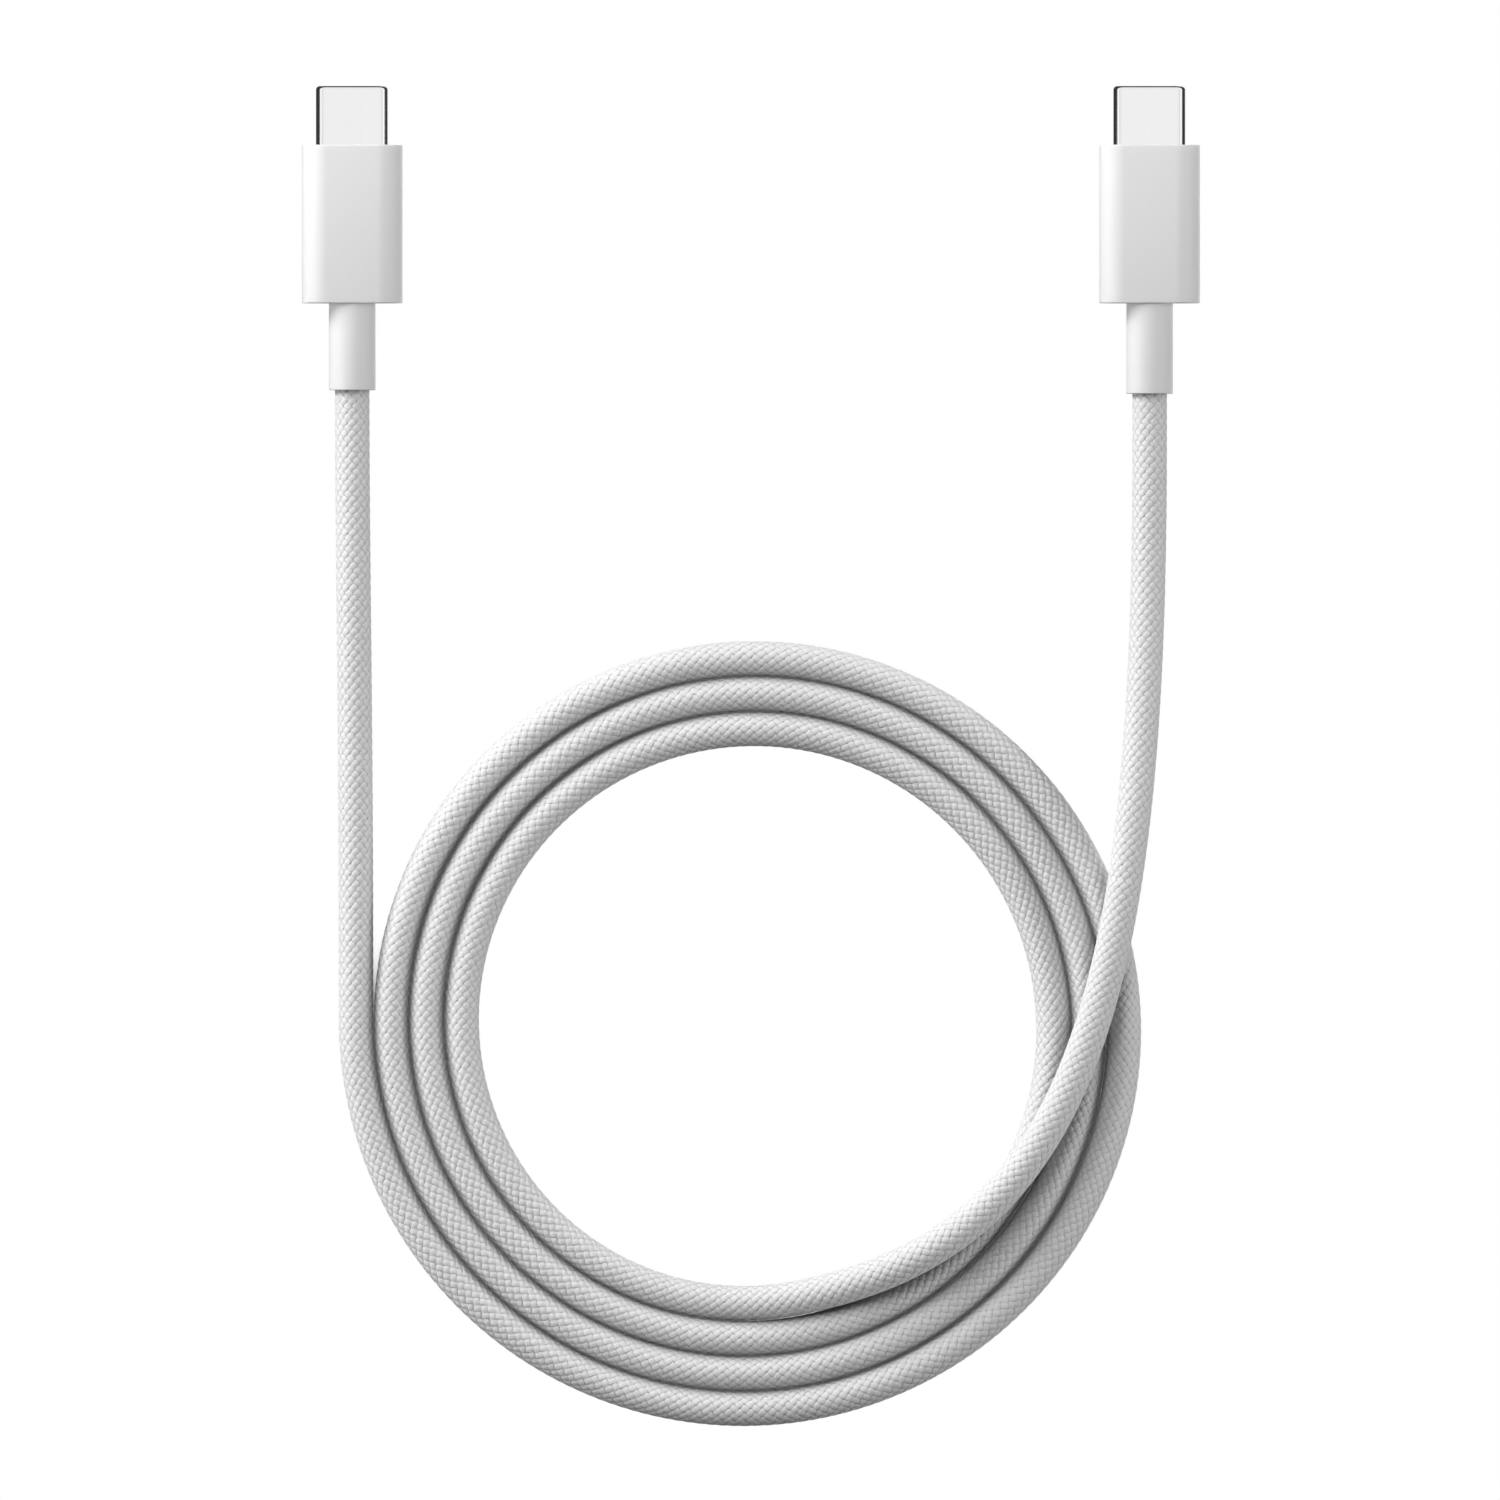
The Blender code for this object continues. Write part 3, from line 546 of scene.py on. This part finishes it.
def liner_mesh(name, start, stop):
    """The jacket's skin between two distances along the cable."""
    stations = np.linspace(start, stop, max(3, int((stop - start) / LINER_STEP)))
    turns = np.arange(LINER_SIDES) * tau / LINER_SIDES
    distance, turn = np.meshgrid(stations, turns, indexing="ij")
    return grid_mesh(name, on_cable(distance, turn, np.full_like(turn, LINER_RADIUS))[None])


HINGE_ZONES = (14.0, 28.0, 42.0, 56.0)  # ends of the four bending zones, from the strain relief
COIL_PIECES = 6


def sleeve_pieces(name, start, stop, sleeve, core):
    """One stretch of braid and its liner, which stand for two CAD nodes."""
    braid = add_piece(f"{name}_braid", braid_mesh(name, start, stop), YARN)
    liner = add_piece(f"{name}_liner", liner_mesh(name, start, stop), LINER)
    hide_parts(sleeve)
    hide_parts(core)
    return braid, liner


def build_coil_sleeve():
    edges = np.linspace(HINGE_ZONES[-1], LENGTH - HINGE_ZONES[-1], COIL_PIECES + 1)
    for i, (start, stop) in enumerate(zip(edges, edges[1:])):
        for piece in sleeve_pieces(f"coil_{i + 1}", start, stop, "coil_sleeve", "coil_jacket"):
            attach(piece, "coil")


def build_lead_sleeve(side):
    """The four bending zones of a lead, from the plug to the coil."""
    links = ("stub", "lead_upper", "lead_middle", "lead_lower")
    starts = (0.0, *HINGE_ZONES[:-1])
    for i, (link, near, far) in enumerate(zip(links, starts, HINGE_ZONES)):
        first = near - INSIDE_RELIEF * (i == 0)
        if side == "left":
            span, ends = (first, far), (near, far)
        else:
            span, ends = (LENGTH - far, LENGTH - first), (LENGTH - near, LENGTH - far)
        nodes = (f"{side}_{link}_sleeve", f"{side}_{link}_core")
        at_plug, at_coil = on_cable(np.array(ends), np.zeros(2), np.zeros(2)) * MM
        for piece in sleeve_pieces(f"{side}_lead_{i + 1}", *span, *nodes):
            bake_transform(piece)


build_coil_sleeve()
for side in SIDES:
    build_lead_sleeve(side)


# ---- Plugs: places along Y are from the housing's front face, + towards the tip ------------------

HOUSING_RADIUS = PLUG_Z
HOUSING_REACH = (HOUSING["left"][1].x - HOUSING["left"][0].x) / 2 - HOUSING_RADIUS
HOUSING_LENGTH = HOUSING["left"][1].y - HOUSING["left"][0].y
HOUSING_WALL = 0.7
MOUTH_DEPTH = 1.4
MOUTH_BEVEL = ((0.0, -0.1), (0.03, -0.03), (0.1, 0.0))  # (outwards, along) from the mouth's wall
REAR_HOLE_RADIUS, REAR_WALL = 2.3, 0.6
EDGE = 0.1  # radius of the housing's and the strain relief's edges
NOSE_GAP, NOSE_SET_BACK, NOSE_DEPTH, NOSE_EDGE = 0.06, 0.12, 1.6, 0.08
SHELL_GAP = 0.04  # between the nose and the metal shell
SHELL_LOW, SHELL_HIGH = box_mm("left_plug_shell")
SHELL_RADIUS = (SHELL_HIGH.z - SHELL_LOW.z) / 2
SHELL_REACH = (SHELL_HIGH.x - SHELL_LOW.x) / 2 - SHELL_RADIUS
SHELL_TIP = SHELL_HIGH.y - HOUSING["left"][1].y
SHELL_ROOT = -1.5
SHELL_WALL = 0.3  # at the tip
SHELL_LIP = 0.42  # how far the shell rounds inwards at the tip
LATCH_ROOM = 0.045  # the wall is this much thinner behind the tip, where the latch arms spread
RELIEF_RADIUS = 2.65
RELIEF_MOUTH, RELIEF_BORE, RELIEF_MOUTH_BEVEL = 2.12, 2.06, 0.08
RELIEF_FRONT, RELIEF_BORE_DEPTH, RELIEF_FLOOR = 2.2, 2.5, 1.2


def add_plug_skin(side, name, rings, material, node):
    """A lofted skin that rides on a plug and stands for one of its CAD nodes."""
    front = (PLUG_X[side], HOUSING[side][1].y, PLUG_Z)
    piece = add_piece(f"{side}_{name}", lofted(f"{side}_{name}", rings, front), material)
    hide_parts(f"{side}_{node}")
    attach(piece, f"{side}_plug")


def build_housing(side):
    """The moulded outer shell, open at the front and with a round hole behind."""
    cavity = HOUSING_RADIUS - HOUSING_WALL
    rings = [(HOUSING_REACH, cavity, -MOUTH_DEPTH)]
    rings += [(HOUSING_REACH, cavity + outwards, along) for outwards, along in MOUTH_BEVEL]
    rings += fillet(HOUSING_REACH, HOUSING_RADIUS, 0.0, EDGE, FRONT)
    rings += fillet(HOUSING_REACH, HOUSING_RADIUS, -HOUSING_LENGTH, EDGE, BACK)
    rings += [(0.0, REAR_HOLE_RADIUS, -HOUSING_LENGTH)]
    rings += [(0.0, REAR_HOLE_RADIUS, -HOUSING_LENGTH + REAR_WALL)]
    add_plug_skin(side, "housing_shell", rings, SATIN, "housing")


def build_nose(side):
    """The front of the inner moulding, which fills the housing's mouth round the metal shell."""
    mouth = HOUSING_RADIUS - HOUSING_WALL - NOSE_GAP
    rings = [(HOUSING_REACH, mouth, -NOSE_DEPTH)]
    rings += fillet(HOUSING_REACH, mouth, -NOSE_SET_BACK, NOSE_EDGE, FRONT, steps=3)[::-1]
    rings += [(SHELL_REACH, SHELL_RADIUS + SHELL_GAP, -NOSE_SET_BACK)]
    rings += [(SHELL_REACH, SHELL_RADIUS + SHELL_GAP, -NOSE_DEPTH)]
    add_plug_skin(side, "nose", rings, SATIN, "inner_mould")


def build_shell(side):
    """The drawn metal shell, its lip turned in at the tip."""
    inner = SHELL_RADIUS - SHELL_WALL
    roomy = inner + LATCH_ROOM
    rings = [(SHELL_REACH, SHELL_RADIUS, SHELL_ROOT)]
    rings += [(SHELL_REACH, SHELL_RADIUS, SHELL_TIP - SHELL_LIP - 0.1)]
    rings += fillet(SHELL_REACH, SHELL_RADIUS, SHELL_TIP, SHELL_LIP, FRONT, steps=8)[::-1]
    inside = ((inner - 0.02, 0.03), (inner, 0.1), (inner, 0.8), (roomy, 0.9))
    rings += [(SHELL_REACH, radius, SHELL_TIP - depth) for radius, depth in inside]
    rings += [(SHELL_REACH, roomy, SHELL_ROOT)]
    add_plug_skin(side, "metal_shell", rings, METAL, "plug_shell")


def build_relief(side):
    """The strain relief: a smooth sleeve out of the housing, hollow where the braid goes in."""
    tip = RELIEF_END[side] - HOUSING[side][1].y
    rings = [(0.0, RELIEF_FRONT, -HOUSING_LENGTH), (0.0, RELIEF_RADIUS, -HOUSING_LENGTH)]
    rings += fillet(0.0, RELIEF_RADIUS, tip, EDGE, BACK)
    rings += [(0.0, RELIEF_MOUTH, tip), (0.0, RELIEF_BORE, tip + RELIEF_MOUTH_BEVEL)]
    rings += [(0.0, radius, tip + RELIEF_BORE_DEPTH) for radius in (RELIEF_BORE, RELIEF_FLOOR)]
    add_plug_skin(side, "relief", rings, RELIEF, "strain_relief")


for side in SIDES:
    for build in (build_housing, build_nose, build_shell, build_relief):
        build(side)


# ---- Floor, light and camera ---------------------------------------------------------------------

# Lengths from here on are in metres.

FLOOR_Z = -0.00006
FLOOR_RADIUS = 1.2
FLOOR_BOUNCE = 0.05
SLIT_REACH = 0.004  # how far off a slit's walls may be to paint shade on the floor in it
SLIT_OPENNESS, SLIT_SLOPE = 0.04, 11.0  # how open the floor must be to shine, and how soon it does
COIL_MIDDLE, COIL_HALF_WIDTH = 0.038, 0.0095  # radii of the ring of floor that the coil covers
STEEP, STEEP_SLOPE = 0.6, 8.0


def floor_material():
    """A lit white table: glowing plain white to the camera, with painted shade in the slits between the
    coil's turns.

    Only its right half shows in shiny surfaces, where it glows white as a painted reflection."""
    n = Nodes("floor_white")
    path = n.add("ShaderNodeLightPath")
    geometry = n.add("ShaderNodeNewGeometry")
    white = n.add("ShaderNodeEmission")
    slit_shaded = n.add("ShaderNodeEmission")
    for emission in (white, slit_shaded):
        emission.inputs["Color"].default_value = grey(1.0)
    # painted shade: the floor's glow dims in the narrow slits between the coil's turns
    lit = n.math("SUBTRACT", n.openness(SLIT_REACH, samples=16), SLIT_OPENNESS)
    n.put(slit_shaded.inputs["Strength"], n.math("MULTIPLY", lit, SLIT_SLOPE, clamp=True))
    away = n.add("ShaderNodeVectorMath", operation="DISTANCE")
    n.put(away.inputs[0], geometry.outputs["Position"])
    away.inputs[1].default_value = (COIL_CENTRE[0] * MM, COIL_CENTRE[1] * MM, FLOOR_Z)
    ring = n.math("COMPARE", away.outputs["Value"], COIL_MIDDLE, COIL_HALF_WIDTH)
    glow = n.either(ring, white.outputs[0], slit_shaded.outputs[0])

    n.set(Base_Color=grey(FLOOR_BOUNCE), Roughness=0.9, Specular_IOR_Level=0.0)
    # painted reflection: shiny surfaces that look steeply down at the floor to their right see it glow
    # white
    toward_x, _, toward_z = n.split(geometry.outputs["Incoming"])
    past_steep = n.math("SUBTRACT", n.math("ABSOLUTE", toward_z), STEEP)
    steep = n.math("MULTIPLY", past_steep, STEEP_SLOPE, clamp=True)
    to_right = n.math("MULTIPLY", toward_x, -STEEP_SLOPE, clamp=True)
    glossy_glow_mask = n.math("MULTIPLY", n.math("MULTIPLY", steep, to_right), path.outputs["Is Glossy Ray"])
    shining = n.math("MAXIMUM", path.outputs["Is Camera Ray"], glossy_glow_mask)
    n.put(n.output.inputs["Surface"], n.either(shining, n.shader.outputs[0], glow))
    return n.material


def build_floor():
    bm = bmesh.new()
    bmesh.ops.create_circle(bm, cap_ends=True, segments=96, radius=FLOOR_RADIUS)
    mesh = bpy.data.meshes.new("floor")
    bm.to_mesh(mesh)
    bm.free()
    floor = bpy.data.objects.new("floor", mesh)
    bpy.context.scene.collection.objects.link(floor)
    floor.location.z = FLOOR_Z
    mesh.materials.append(floor_material())


LIGHT_DISTANCE = 1.4
# Each light: azimuth and elevation in degrees, seen from the middle, then width in m and power in W.
LIGHTS = {
    "key": (135, 30, 0.5, 7.6),
    "key_low": (135, 12, 0.4, 8.0),
    "left": (180, 12, 0.4, 8.6),
    "right": (0, 12, 0.4, 9.4),
    "back": (90, 12, 0.4, 4.0),
    "front": (275, 5, 0.4, 2.0),
    "top_left": (120, 55, 0.6, 4.2),
    "top_right": (60, 55, 0.6, 2.0),
}


def area_light(name, azimuth, elevation, size, power):
    """A square soft light, turned to the middle."""
    data = bpy.data.lights.new(name, "AREA")
    data.shape = "RECTANGLE"
    data.size = data.size_y = size
    data.energy = power
    light = bpy.data.objects.new(name, data)
    bpy.context.scene.collection.objects.link(light)
    turn, up = radians(azimuth), radians(elevation)
    place = Vector((cos(turn) * cos(up), sin(turn) * cos(up), sin(up))) * LIGHT_DISTANCE
    light.location = place
    light.rotation_euler = (-place).to_track_quat("-Z", "Y").to_euler()
    light.visible_camera = False
    light.visible_glossy = False  # shiny surfaces mirror the world's room instead


AMBIENT = 0.05
# The mirrored room, from the horizon up to straight overhead: (height, brightness).
CEILING = (
    (0.0, 0.02), (0.14, 0.03), (0.30, 1.0), (0.50, 1.0), (0.66, 0.68), (0.80, 0.84), (1.0, 0.88)
)
CEILING_STRENGTH = 1.1


def build_world():
    """A soft even room behind a white backdrop. Shiny surfaces mirror a white ceiling instead."""
    world = bpy.data.worlds.new("studio")
    bpy.context.scene.world = world
    world.use_nodes = True
    tree = world.node_tree
    tree.nodes.clear()
    output = tree.nodes.new("ShaderNodeOutputWorld")
    path = tree.nodes.new("ShaderNodeLightPath")
    place = tree.nodes.new("ShaderNodeTexCoord")
    split = tree.nodes.new("ShaderNodeSeparateXYZ")
    ramp = tree.nodes.new("ShaderNodeValToRGB")

    def background(color, strength=1.0):
        node = tree.nodes.new("ShaderNodeBackground")
        node.inputs["Color"].default_value = color
        node.inputs["Strength"].default_value = strength
        return node

    def either(ray, no, yes):
        node = tree.nodes.new("ShaderNodeMixShader")
        for socket, source in zip(node.inputs, (path.outputs[ray], no.outputs[0], yes.outputs[0])):
            tree.links.new(source, socket)
        return node

    mirrored = background(grey(1.0), CEILING_STRENGTH)
    tree.links.new(place.outputs["Generated"], split.inputs[0])
    tree.links.new(split.outputs["Z"], ramp.inputs[0])
    tree.links.new(ramp.outputs[0], mirrored.inputs["Color"])
    room = either("Is Glossy Ray", background(grey(AMBIENT)), mirrored)
    seen = either("Is Camera Ray", room, background(grey(1.0)))
    tree.links.new(seen.outputs[0], output.inputs["Surface"])
    elements = ramp.color_ramp.elements
    while len(elements) < len(CEILING):
        elements.new(0.5)
    for element, (position, level) in zip(elements, CEILING):
        element.position = position
        element.color = grey(level)


LENS, SENSOR = 1000.0, 36.0  # mm
FRAME_WIDTH = 0.1707
AIM_FROM_MIDDLE = (-0.00011, 0.00069)
AIM_HEIGHT = 0.003


def build_camera():
    """Straight down, through a very long lens."""
    data = bpy.data.cameras.new("camera")
    data.lens, data.sensor_width = LENS, SENSOR
    camera = bpy.data.objects.new("camera", data)
    bpy.context.scene.collection.objects.link(camera)
    middle = (cad_low + cad_high) / 2
    aim = Vector((middle.x + AIM_FROM_MIDDLE[0], middle.y + AIM_FROM_MIDDLE[1], AIM_HEIGHT))
    camera.location = aim + Vector((0, 0, FRAME_WIDTH * LENS / SENSOR))
    data.clip_start, data.clip_end = 0.01, 100
    bpy.context.scene.camera = camera


build_floor()
for name, settings in LIGHTS.items():
    area_light(name, *settings)
build_world()
build_camera()
bpy.context.scene.view_settings.view_transform = "Standard"
